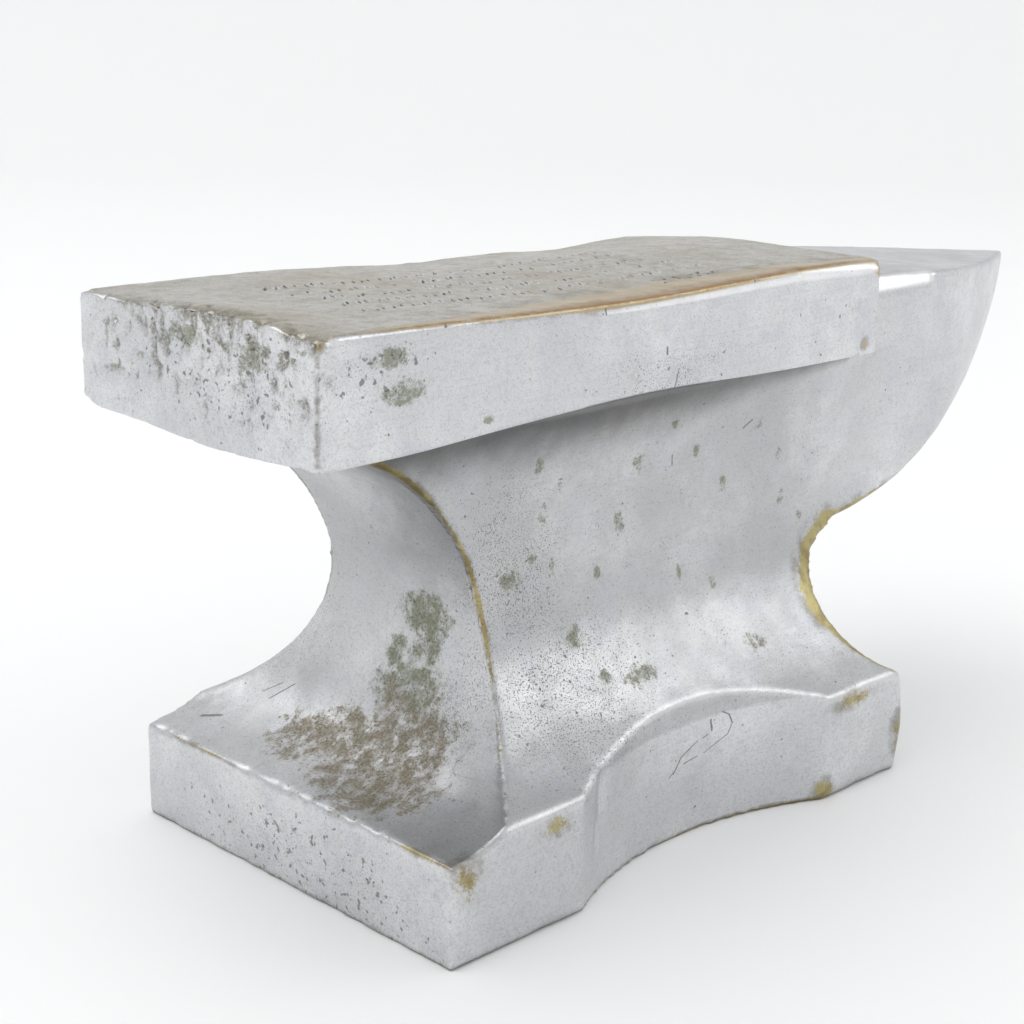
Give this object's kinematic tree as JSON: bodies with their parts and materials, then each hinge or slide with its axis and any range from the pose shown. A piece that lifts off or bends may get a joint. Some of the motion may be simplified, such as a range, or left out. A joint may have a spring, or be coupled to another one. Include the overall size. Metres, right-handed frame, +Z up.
{
  "type": "anvil",
  "caption": "Small bench anvil with a thick face slab, stepped table, rounded tapering horn, waisted core and a base whose corner feet have hollowed sides between them.",
  "frame": {"origin": "on the floor, under the middle of the overall length and width", "axes": "+X towards the tip of the horn, +Y across the face, to the left when looking from the heel to the horn, +Z up"},
  "size_m": [0.1142, 0.041, 0.05],
  "materials": {
    "plated_body": "satin silver plating over brass, pitted and worn through on the arrises",
    "plated_feet": "satin silver plating over brass, worn through at the corners",
    "plated_horn": "satin silver plating over brass",
    "worn_face": "satin silver plating over brass, tarnished grey-brown and tool-marked on top"
  },
  "bodies": {
    "root": {"core": "plated_body", "heel": "plated_body", "foot_heel_left": "plated_feet", "foot_heel_right": "plated_feet", "foot_horn_left": "plated_feet", "foot_horn_right": "plated_feet", "horn": "plated_horn", "face_plate": "worn_face"}
  },
  "joints": []
}
